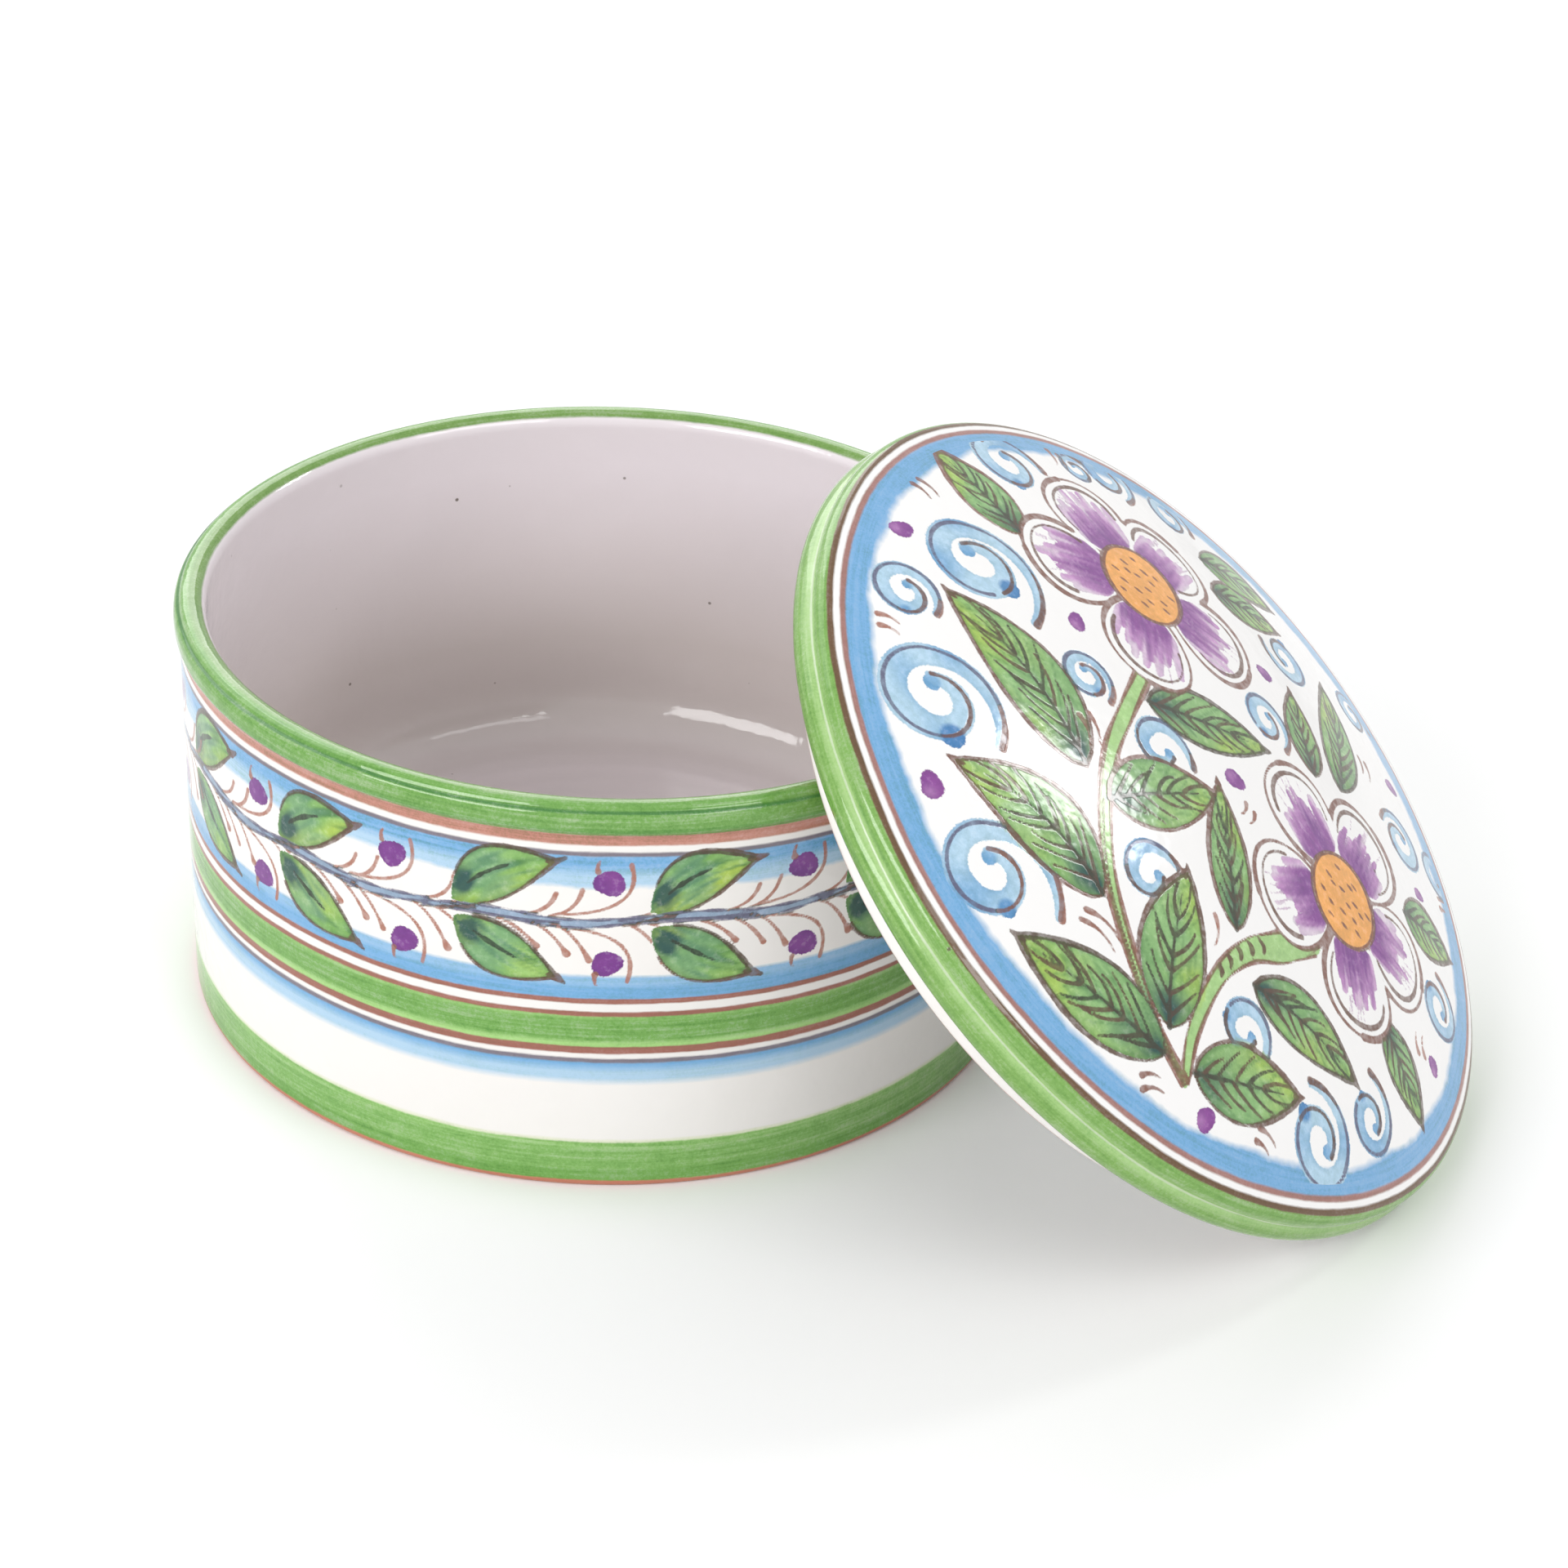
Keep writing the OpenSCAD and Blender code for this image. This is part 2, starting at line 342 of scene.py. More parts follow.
class Painter:
    def __init__(self, points, seed):
        self.p = points
        self.fill, self.fill_d, self.line_d, self.tone = unpainted(len(points))
        self.rng = np.random.default_rng(seed)

    def seed(self):
        return int(self.rng.integers(1e6))

    def near(self, low, high):
        return np.nonzero(((self.p > low) & (self.p < high)).all(axis=1))[0]

    def lay(self, i, d, colour, alpha=1, soft=0.35):
        """a wash of colour inside d"""
        cover = np.clip(0.5 - d / soft, 0, 1) * alpha
        bare = self.fill_d[i] > 0
        take = bare & (d < 0.9) & (d < self.fill_d[i])
        self.tint(i, np.where(take, 1, np.where(bare, 0, cover)), colour)
        self.fill_d[i] = np.minimum(self.fill_d[i], d)

    def tint(self, i, amount, colour, most=1):
        """more pigment over what is laid already"""
        self.fill[i] = blend(self.fill[i], colour, np.clip(amount, 0, most))

    def hide_lines(self, i, d):
        self.line_d[i] = np.maximum(self.line_d[i], -d)

    def erase(self, i, d):
        self.hide_lines(i, d)
        self.fill_d[i] = np.maximum(self.fill_d[i], -d)

    def track(self, pts, radii, tone, jitter=0.12):
        """a brush line along pts, whose radii are spread along it"""
        shake = 1 + jitter * self.rng.standard_normal(len(pts)).clip(-1.5, 1.5)
        i, d = self.reach(pts, spread(radii, len(pts)) * shake, 1.2)
        self.tone[i] = np.where(d < self.line_d[i], tone, self.tone[i])
        self.line_d[i] = np.minimum(self.line_d[i], d)

    def reach(self, pts, radii, beyond):
        """vertices near a line of points, and their distance to its edge"""
        radii = spread(radii, len(pts))
        lim = radii.max() + beyond
        i = self.near(pts.min(axis=0) - lim, pts.max(axis=0) + lim)
        q = self.p[i][:, None, :]
        a, b = pts[:-1][None], pts[1:][None]
        ab = b - a
        t = np.clip(((q - a) * ab).sum(-1) / np.maximum((ab ** 2).sum(-1), 1e-9), 0, 1)
        d = np.hypot(*np.moveaxis(q - a - ab * t[..., None], -1, 0))
        return i, (d - (radii[:-1] + (radii[1:] - radii[:-1]) * t)).min(axis=1)


def spread(values, n):
    """n values at even steps along the given ones"""
    return np.interp(np.linspace(0, 1, n), np.linspace(0, 1, len(values)), values)


def bezier(p0, p1, p2, n):
    t = np.linspace(0, 1, n)[:, None]
    p0, p1, p2 = np.array(p0), np.array(p1), np.array(p2)
    return p0 * (1 - t) ** 2 + 2 * p1 * t * (1 - t) + p2 * t ** 2


def through(points):
    """smooth line through points"""
    p = np.asarray(points, float)
    p = np.concatenate([[2 * p[0] - p[1]], p, [2 * p[-1] - p[-2]]])
    t = np.linspace(0, 1, 8, endpoint=False)[:, None]
    out = []
    for k in range(1, len(p) - 2):
        a, b, c, d = p[k - 1:k + 3]
        out.append(0.5 * (2 * b + (c - a) * t + (2 * a - 5 * b + 4 * c - d) * t ** 2
                          + (3 * b - a - 3 * c + d) * t ** 3))
    return np.concatenate([*out, p[-2:-1]])


def ripple(x, y, scale, seed):
    """smooth noise between -1 and 1 out of a few waves"""
    rng = np.random.default_rng(seed)
    total = 0
    for k in range(6):
        a = rng.uniform(0, TAU)
        f = scale * rng.uniform(0.6, 1.7)
        total = total + np.sin((x * math.cos(a) + y * math.sin(a)) * f + rng.uniform(0, TAU))
    return total / 3.5


def leaf(pt, base, tip, wide, bend, veins, on_lid=True):
    """a leaf with a dark base, a midrib, side veins and a brown brush outline"""
    rng = pt.rng
    base, tip = np.array(base, float), np.array(tip, float)
    size = np.hypot(*(tip - base))
    ax = (tip - base) / size
    nx = np.array([-ax[1], ax[0]])
    full, blunt = (0.8, 0.82) if on_lid else (0.84, 0.9)

    def half(t):
        return wide / 2 * np.sin(math.pi * np.clip(t, 0, 1) ** full).clip(0) ** blunt

    def spine(t):
        return bend * size * 4 * t * (1 - t)

    def at(t, side):
        t = np.asarray(t, float)
        return base + ax * (t * size)[..., None] + nx * (spine(t) + side * half(t))[..., None]

    i = pt.near(np.minimum(base, tip) - wide * 0.8, np.maximum(base, tip) + wide * 0.8)
    q = pt.p[i] - base
    u, v = q @ ax, q @ nx
    t = np.clip(u / size, 0.001, 0.999)
    v = v - spine(t)
    slope = (half(t + 0.02) - half(t - 0.02)) / (0.04 * size)
    beyond = np.maximum(-u, u - size)
    d = np.where(beyond > 0, np.hypot(v, beyond), (np.abs(v) - half(t)) / np.sqrt(1 + slope ** 2))
    near = d < 0.9
    i, u, v, d, t = i[near], u[near], v[near], d[near], t[near]
    pt.hide_lines(i, d)
    # washes: light first, then darker strokes along the veins
    across = v / np.maximum(half(t), 0.4)
    seed = pt.seed()
    slant = u - np.abs(v) * 1.5
    streak = ripple(slant * 1.5, np.abs(v) * 0.3, 1.3, seed)
    patch = ripple(u, v, 0.45, seed + 1)
    pale = 0.92 if on_lid else 0.38
    pt.lay(i, d, blend(GREEN, GREEN_LIGHT, np.clip(pale + 0.4 * patch + 0.2 * streak, 0, 1)))
    if on_lid:
        hollow = across * np.sign(bend + 0.001)
        yellow = t * 1.5 - 0.6 - 0.4 * hollow + 0.5 * ripple(u, v, 0.5, seed + 2)
        pt.tint(i, yellow * 0.55, GREEN_YELLOW, 0.55)
        cool = 0.75 - np.abs(t - 0.45) * 2.2 + 0.5 * hollow + 0.4 * patch
        pt.tint(i, cool, SEA_GREEN, 0.26)
        # a dark stroke along each side vein, and fine hairs between them
        rib = (slant / size - 0.02) * veins / 0.74
        own = np.round(rib)
        long = 0.62 + 0.3 * np.sin(own * 2.4 + seed + 1.7 * (across > 0))
        dark_vein = np.exp(-((np.abs(rib - own) * 0.74 * size / veins) / 0.34) ** 2)
        pt.tint(i, dark_vein * 0.5 * (np.abs(across) < long), GREEN_DARK)
        hair = ripple(u * 0.45 - np.abs(v) * 0.4, v * 3.4, 1.5, seed + 3)
        pt.tint(i, (0.9 * hair - 0.35) * (np.abs(across) < 0.85), GREEN_DARK, 0.34)
        pt.tint(i, 0.4 * streak - 0.05, GREEN_DARK, 0.2)
        pt.tint(i, 0.55 * np.exp(-(v / 0.6) ** 2) * (1 - t), TEAL)
        blot = 1.15 - t / 0.3 + 0.35 * patch
        pt.tint(i, np.clip(blot, 0, 0.95) * np.clip(1.35 - np.abs(across), 0, 1), TEAL)
    else:
        yellow = 0.1 - across * np.sign(bend + 0.05) + 0.7 * patch
        pt.tint(i, yellow * 0.75, GREEN_YELLOW, 0.75)
        brush = ripple(u * 0.35, v * 2.6, 1.6, seed + 3)
        pt.tint(i, 0.55 - np.abs(across - 0.25) * 1.1 + 0.9 * brush, GREEN_DARK, 0.8)
        pt.tint(i, 0.7 * ripple(u * 0.3, v * 2, 1.7, seed + 4) - 0.2, GREEN_LIGHT, 0.5)
        pt.tint(i, 0.8 - np.abs(t - 0.42) * 3 + 0.3 * brush, SEA_GREEN, 0.45)
        spot = np.hypot(u - size * 0.17, v - half(0.2) * rng.uniform(-0.4, 0.4)) / size
        pt.tint(i, 1.4 - spot / 0.13 + 0.3 * patch, TEAL, 0.5)
        pt.tint(i, 3.4 - spot / 0.034 + 0.5 * brush, TEAL, 0.85)
    pt.tint(i, 0.4 * np.exp(-((d + 0.2) / 0.4) ** 2), GREEN_DARK)
    # outline in two strokes, heavier towards the tip, which runs out in a small spike
    s = np.linspace(0, 1, 22)
    weight = 0.22 + 0.14 * s + 0.07 * np.sin(s * 5 + rng.uniform(0, 6))
    tone = rng.uniform(0.3, 0.7)
    if on_lid:
        spike = tip + ax * 1.1 + nx * rng.uniform(-0.4, 0.4)
        pt.track(np.concatenate([at(s, 1.05), [spike]]), np.append(weight * 1.4, 0.2), tone + 0.1)
        pt.track(at(s, -1.02), weight * 1.25, tone + 0.15)
        pt.track(np.array([at(0.95, 0), tip, spike]), (0.3, 0.6, 0.24), tone + 0.1)
        pt.track(at(np.linspace(0, 0.84, 14), 0), (0.36, 0.14), 0.9)
    else:
        spike = tip + ax * 1.4 + nx * rng.uniform(-0.5, 0.5)
        pt.track(np.concatenate([at(s[3:], 1), [spike]]), np.append(weight[3:] * 1.15, 0.3), 0.78)
        pt.track(at(s[4:], -1), weight[4:], 0.66)
        pt.track(np.array([at(0.93, 0), tip, spike]), (0.3, 0.62, 0.26), 0.62)
        midrib = 0.12 + 0.27 * np.sin(np.linspace(0.2, 3, 10))
        pt.track(at(np.linspace(0.2, 0.62, 10), 0.1), midrib, 1, 0.25)
    for k in range(veins):
        for side in (-1, 1):
            t0 = 0.08 + 0.72 * k / veins + rng.uniform(-0.02, 0.02)
            t1 = min(t0 + rng.uniform(0.19, 0.27), 0.97)
            a, b = at(t0, side * 0.05), at(t1, side * rng.uniform(0.55, 0.9))
            mid = at((t0 + t1) / 2 - 0.02, side * 0.5)
            heavy = rng.uniform(0.28, 0.4)
            pt.track(bezier(a, mid, b, 6), (heavy, 0.2), rng.uniform(0.6, 0.95))


def petal(pt, centre, angle, reach, wide, others, ring, wash):
    """a petal in purple strokes, and the distance to it. It lies under the others."""
    rng = pt.rng
    ax = unit(angle)
    nx = np.array([-ax[1], ax[0]])
    c = centre + ax * reach * 0.62
    a, b = reach * 0.4, wide / 2

    def inside(p):
        x, y = (p - c) @ ax, (p - c) @ nx
        y = y / (1 + 0.16 * np.clip(x / a, -1, 1))
        return (np.hypot(x / a, y / b) - 1) * min(a, b)

    def stroke(off, lean, far, thick, fine, scale):
        """one stroke of the fan: its vertices, their places and distances, and its grain"""
        way = unit(angle + off * lean)
        tip = centre + unit(angle + off) * far
        pts = bezier(centre + way * (ring - 1), centre + way * far * 0.7, tip, 8)
        j, d = pt.reach(pts, thick, 1)
        q = pt.p[j]
        return j, q, d, ripple((q - c) @ ax * 0.4, (q - c) @ nx * fine, scale, pt.seed())

    i = pt.near(c - reach * 0.62, c + reach * 0.62)
    pt.erase(i, inside(pt.p[i]))
    # a pale wash first, then purple in a fan of strokes from the middle, each run out dry
    for k in range(7):
        off = (k - 3) / 3 * 0.36 + rng.uniform(-0.03, 0.03)
        far = reach * (0.74 + 0.16 * wash - 0.6 * off ** 2 + rng.uniform(-0.16, 0.02))
        j, q, d, grain = stroke(off, 1.3, far, (1.6, 0.7), 2.4, 1.1)
        # the pale wash fades into the lid's white, which is painted lighter as painted light
        colour = blend(PURPLE_LIGHT, LID_WHITE_PAINTED_LIGHT, np.clip(0.35 + 0.3 * grain, 0, 1))
        pt.lay(j, np.maximum(d, inside(q) + 0.8), colour, 0.8)
    for k in range(9):
        off = (k - 4) / 4 * 0.3 + rng.uniform(-0.03, 0.03)
        far = reach * (0.79 - 0.9 * off ** 2 + rng.uniform(-0.15, 0.03))
        j, q, d, grain = stroke(off, 1.5, far, (1.45, 0.5), 3, 1.3)
        fade = np.clip((np.hypot(*(q - centre).T) - far * 0.66) / (far * 0.34), 0, 1)
        colour = blend(PURPLE, PURPLE_DARK, rng.uniform(0.1, 0.9) * 0.9)
        colour = blend(colour, PURPLE_LIGHT, np.clip(0.3 * grain + 0.75 * fade - 0.05, 0, 1))
        pt.lay(j, np.maximum(d, inside(q) + 0.9), colour, 0.9)
    # fine dry hairs towards the tip
    for k in range(6):
        way = unit(angle + rng.uniform(-0.24, 0.24))
        p0 = centre + way * reach * rng.uniform(0.72, 0.8)
        p1 = centre + way * reach * rng.uniform(0.86, 0.93)
        j, d = pt.reach(np.array([p0, p1]), (0.16, 0.12), 0.9)
        pt.lay(j, d, blend(PURPLE_LIGHT, WHITE, 0.5))
    # double outline, hidden where an earlier petal lies over it
    inner = rng.uniform(-2.3, -1.5), rng.uniform(1, 2.1)
    for inset, sweep, w, tone in ((0, (0, TAU), 0.42, 0.46), (1.7, inner, 0.32, 0.62)):
        phi = np.linspace(*sweep, 44)
        x = (a - inset) * np.cos(phi)
        y = (b - inset) * np.sin(phi) * (1 + 0.16 * np.cos(phi))
        pts = c + x[:, None] * ax + y[:, None] * nx
        clear = np.hypot(*(pts - centre).T) > ring
        for other in others:
            clear &= other(pts) > -0.15
        weight = w * (1 + 0.4 * np.sin(phi * 1.5 + rng.uniform(0, 6)))
        turns = np.nonzero(np.diff(np.concatenate([[False], clear, [False]]).astype(int)))[0]
        for first, last in turns.reshape(-1, 2):
            if last - first > 2:
                pt.track(pts[first:last], weight[first:last], tone, 0.06)
    return inside


def flower(pt, centre, angles, reaches, wide, ring, wash):
    """petals round an orange middle with brown dots"""
    rng = pt.rng
    centre = np.array(centre, float)
    done = []
    for angle, reach in zip(angles, reaches):
        done.append(petal(pt, centre, math.radians(angle), reach, wide, done, ring, wash))
    i = pt.near(centre - ring - 2, centre + ring + 2)
    x, y = (pt.p[i] - centre).T
    d = np.hypot(x, y * 0.93) - ring
    pt.erase(i, d - 0.2)
    pt.lay(i, d, ORANGE * (1 + 0.07 * ripple(x, y, 0.8, pt.seed()))[:, None])
    phi = np.linspace(0, TAU, 40)
    pt.track(centre + ring * unit(phi) / (1, 0.93), 0.45 + 0.12 * np.sin(phi * 2), 0.5, 0.06)
    for k in range(17):
        r = ring * math.sqrt((k + 0.6) / 17) * 0.8
        p = centre + r * unit(k * 2.4 + rng.uniform(-0.3, 0.3))
        way = (np.array([0.75, 0.12]) + rng.uniform(-0.15, 0.15, 2)) * 0.8
        pt.track(np.array([p - way, p, p + way]), (0.2, 0.32, 0.2), 0.5)


def scroll(pt, centre, size, start, turn, sweep, tail, blot):
    """a blue brush scroll that winds inwards, with a brown line along its outer side"""
    rng = pt.rng
    c = np.array(centre, float)
    inner = 165
    s = np.linspace(0, 1, 64)
    split = sweep / (sweep + inner)
    t = np.clip(s / split, 0, 1)
    w = np.clip((s - split) / (1 - split), 0, 1)
    rad = 1 + (tail - 1) * np.clip(1 - t / 0.36, 0, 1) ** 1.4 - 0.12 * t
    rad = size * (rad - 0.48 * (w * w * (3 - 2 * w)) ** 0.8)
    way = unit(math.radians(start) + turn * math.radians(sweep + inner) * s)
    line_at = c + way * rad[:, None]
    thick = np.interp(s, [0, 0.1, 0.3, split * 0.8, split, 1], [0.1, 0.17, 0.25, 0.29, 0.25, 0.13]) * size
    i, d = pt.reach(c + way * (rad - thick * 0.62)[:, None], thick, 1)
    q = pt.p[i]
    tide = ripple(q[:, 0], q[:, 1], 0.42, pt.seed())
    edge = np.exp(-((d + 0.2) / 0.35) ** 2)
    away = np.clip(np.hypot(*(q - c).T) / size - 1, 0, 1)
    pt.lay(i, d, blend(SKY, BLUE, np.clip(0.16 + 0.6 * tide + 0.2 * edge - 0.6 * away, 0, 1)), 1, 0.6)
    heart = c + way[-1] * rad[-1] * 0.55
    j = pt.near(heart - size * 0.5, heart + size * 0.5)
    pt.lay(j, np.hypot(*(pt.p[j] - heart).T) - size * 0.17, BLUE, 0.8, 0.6)
    end = int(len(s) * split)
    if blot > 0:
        e = line_at[end] + way[end] * rng.uniform(-0.5, 0.1)
        j = pt.near(e - size * 0.6, e + size * 0.6)
        far = np.hypot(*(pt.p[j] - e).T) - size * 0.24 * (0.6 + 0.4 * blot)
        pt.lay(j, far, blend(BLUE, BLUE_DARK, blot), 0.95, 0.6)
    stop = int(len(s) * split * rng.uniform(0.93, 1))
    weight = 0.25 + 0.1 * np.sin(s * 9 + rng.uniform(0, 6)) ** 2
    pt.track(line_at[3:stop], weight[3:stop], TOP_TONE, 0.08)
    tone = 0.25 + 0.3 * rng.uniform()
    pt.track(line_at[:8], (0.62, 0.2), tone, 0.08)
    hook = weight[end - 2:] * 1.1
    hook[-2:] = 0.4
    pt.track(line_at[end - 2:], hook, tone + 0.1, 0.08)


def dot(pt, centre, r, stretch, angle, dark=0.5):
    """a purple berry, paler on one side where it isn't dark"""
    c = np.array(centre, float)
    i = pt.near(c - 2 * r - 1, c + 2 * r + 1)
    x, y = (pt.p[i] - c) @ unit(angle), (pt.p[i] - c) @ unit(angle + math.pi / 2)
    d = np.hypot(x / stretch, y) - r * (1 + 0.06 * np.sin(3 * np.arctan2(y, x) + c[0]))
    shade = np.clip(0.5 + 0.5 * ripple(x, y, 0.9, int(abs(c[0] * 13)) + 5), 0, 1)
    pt.lay(i, d, blend(PURPLE, PURPLE_DARK, np.clip(shade * 0.5 + dark - 0.5, 0, 1)))
    pt.tint(i, (1 - dark) * np.exp(-(np.hypot(x + 0.6 * r, y - 0.3 * r) / (0.6 * r)) ** 2), PURPLE_LIGHT)


def ticks(pt, centre, angle, size, count, tone):
    """small brown brush ticks side by side, each with a heavier end"""
    way, side = unit(angle), unit(angle + math.pi / 2)
    for k in range(count):
        p = centre + side * (k - (count - 1) / 2) * 1.9 + way * pt.rng.uniform(-0.3, 0.3)
        long = size * pt.rng.uniform(0.8, 1.15)
        pts = bezier(p - way * long / 2, p + side * 0.26 * long, p + way * long / 2, 7)
        pt.track(pts, (0.5, 0.42, 0.32, 0.26, 0.22, 0.19, 0.14), tone)


def ribbon(pt, points, widths, colour, tone, ends):
    """a stem: a pale wash between two brown brush lines"""
    pts = through(points)
    w = spread(widths, len(pts)) / 2
    i, d = pt.reach(pts, w, 1.2)
    tide = ripple(*pt.p[i].T, 0.7, pt.seed())
    pt.lay(i, d, colour * (1 + 0.07 * tide)[:, None])
    way = np.gradient(pts, axis=0)
    way /= np.hypot(*way.T)[:, None]
    side = np.stack([-way[:, 1], way[:, 0]], -1) * w[:, None]
    for sign in (-1, 1):
        weight = ends * (1 + 0.35 * np.sin(np.arange(len(pts)) * 0.35 + pt.rng.uniform(0, 6)))
        pt.track(pts + side * sign, weight, tone, 0.04)
    return pts, side


# Places of the lid's ornament, in millimetres from the middle of the dome

# centre, size, start, turn, sweep, tail, blot
SCROLLS = (
    ((-46, -5), 7.4, -14, 1, 365, 1.75, 0.9),
    ((-50.5, -20.5), 4.9, -4, 1, 300, 1.15, 0.3),
    ((-38.5, -33.8), 8, 2, 1, 320, 1.5, 1),
    ((-17.5, -50.6), 7, 12, 1, 315, 1.75, 0.6),
    ((-24, -9), 4, -10, 1, 350, 1.35, 0.5),
    ((-51, 24.6), 6, 44, 1, 270, 1.25, 0.5),
    ((-37.6, 46), 5, -30, 1, 300, 1.2, 0.2),
    ((-8.8, -8.6), 5.4, 22, 1, 185, 1.1, 0),
    ((0.4, -29.4), 5.2, 60, 1, 170, 1.1, 0),
    ((25.2, -34), 4.9, -30, 1, 230, 1.1, 0.2),
    ((45, -33.2), 6.1, 147, -1, 330, 1.45, 0.8),
    ((50.2, -20.4), 4.6, 130, -1, 320, 1.6, 0.3),
    ((33.4, 36.4), 5, 200, -1, 310, 1.2, 0.2),
    ((52.2, 14.2), 4.8, 120, -1, 310, 1.3, 0.4),
    ((1.2, 43), 4.8, 200, 1, 270, 1.2, 0.8),
    ((2.2, 20.4), 4.5, -20, 1, 300, 1.3, 0.7),
    ((-26, 52), 4.2, 10, 1, 290, 1.2, 0.4),
    ((16.5, 55), 4, 20, 1, 290, 1.3, 0.3),
    ((42.5, 43), 4.2, 60, -1, 300, 1.2, 0.3),
    ((-42, 39.5), 3, 90, 1, 270, 1.2, 0.2),
)
# base, tip, width, bend, side veins
LEAVES = (
    ((-42.8, 8.6), (-60, 13.9), 10, -0.016, 6),
    ((-16.1, -24), (-46.2, -15.1), 12.8, -0.066, 7),
    ((-3.1, -39.5), (-30.6, -40.9), 12.1, -0.1, 7),
    ((17.4, -49.2), (-8.9, -55.3), 11.1, -0.004, 7),
    ((15.6, -45.7), (4.4, -23.4), 11.6, 0.05, 6),
    ((-10.9, -25.4), (1.4, -6.6), 11.2, 0.015, 6),
    ((-14.6, -3), (4.6, 13.2), 9.8, 0.003, 6),
    ((15.3, -23), (0.8, -4.1), 7.8, 0.003, 6),
    ((22.1, -27.1), (44.2, -19.3), 9.4, 0.045, 6),
    ((22.4, -46.9), (37.7, -32.3), 10.8, -0.009, 5),
    ((43.2, -4.4), (58.4, -8.3), 7.8, 0, 5),
    ((38.2, 20.5), (50.8, 28.1), 9.2, 0.03, 5),
    ((-14.7, 39.8), (-1.7, 49.5), 8.2, 0.02, 5),
    ((-18.6, 46.8), (-3.8, 56), 8.4, 0.07, 5),
    ((13.7, 21.2), (4, 34.6), 7.5, 0.03, 5),
    ((18.8, 26), (9.2, 49.6), 8.8, -0.05, 6),
)
# centre and radius
BERRIES = (
    (-56.2, -9.7, 1.8), (-29.4, -0.6, 1.7), (-30.5, -47, 2), (2.6, 0.2, 1.9), (-1.2, 31.4, 1.6),
    (27.9, -50, 1.8), (55.4, 3, 1.5), (28.3, 48.3, 1.6), (-54.5, 33.5, 1.5), (40, 30, 1.3),
)
# centre, angle, size, count
TICKS = (
    (-57.5, 2.4, -0.2, 4.2, 2), (-48.9, -28.5, 0.3, 3.6, 2), (-18.8, -18, -0.75, 5.4, 2),
    (-45, 37.5, -0.8, 4.4, 2), (-0.3, -44.2, 0.1, 6, 2), (18.6, -54, 0.75, 3.6, 2),
    (12.5, -26.6, -1, 5.6, 1), (7.1, -3, -1.5, 3.4, 2), (21.8, 40.8, -1.05, 3.8, 2),
    (37.5, -43, 0.2, 3.4, 2), (51.2, 2.6, 2.3, 3.4, 2), (46.4, 38.4, 0.6, 3.6, 2),
    (-56, 27.4, 1.2, 3.4, 2),
)
LONG_STEM = (
    (22.2, -49.4), (14, -47.3), (5, -42.8), (-4, -36.2),
    (-10.5, -27.5), (-14.6, -18), (-16.2, -9), (-17.4, 2),
)
SHORT_STEM = ((22.2, -49.4), (18.6, -42), (17, -32), (18.6, -23.6), (22.2, -17.5), (26, -10))
STEM_NICKS = ((15.6, -30.6), (16, -27.9), (16.6, -25.2), (17.6, -22.6), (19, -20.2))


def paint_lid(points):
    """two purple flowers on long stems, with leaves, blue scrolls and berries round them"""
    pt = Painter(points, 41)
    for place in SCROLLS:
        scroll(pt, *place)
    pts, side = ribbon(pt, LONG_STEM, (1.2, 1.5, 1.9, 2.2, 2.5, 2.5), STEM_GREEN, 0.36, 0.36)
    pt.track((pts + side * 0.25)[:34], (0.3, 0.12), 0.55)
    ribbon(pt, SHORT_STEM, (1.4, 2, 2.4, 3.4, 4.6, 4.2), STEM_GREEN, 0.4, 0.28)
    for place in LEAVES:
        leaf(pt, *place)
    flower(pt, (-24.6, 21.4), (15, 84, 153, 222, 293), (21.4, 19.4, 20.8, 22.4, 21.6), 16.4, 7.4, 0.9)
    flower(pt, (27.5, 4.6), (20, 92, 157, 235, 311), (20.6, 22.2, 21.8, 21.4, 21), 16.4, 7.4, 0.35)
    for p in np.array(STEM_NICKS):
        pt.track(bezier(p, p + (1.5, 0.3), p + (1.7, -1.2), 6), (0.3, 0.42, 0.5, 0.5, 0.4, 0.22), 0.62)
    for x, y, r in BERRIES:
        dot(pt, (x, y), r * 0.86, 1.3, pt.rng.uniform(0, 3))
    for x, y, angle, size, count in TICKS:
        ticks(pt, (x, y), angle, size, count, pt.rng.uniform(0.15, 0.5))
    return pt


# Garland on the wall, in millimetres along the wall and up it: hairs above and below the stem
UPPER_HAIRS = ((10.4, 3.6), (14, 4.4), (25.8, 4.8), (29.4, 3.8))
LOWER_HAIRS = ((7, 3.6), (10.6, 4.6), (14.2, 5.6), (24.4, 6), (27.6, 4.2))
REPEATS = 14


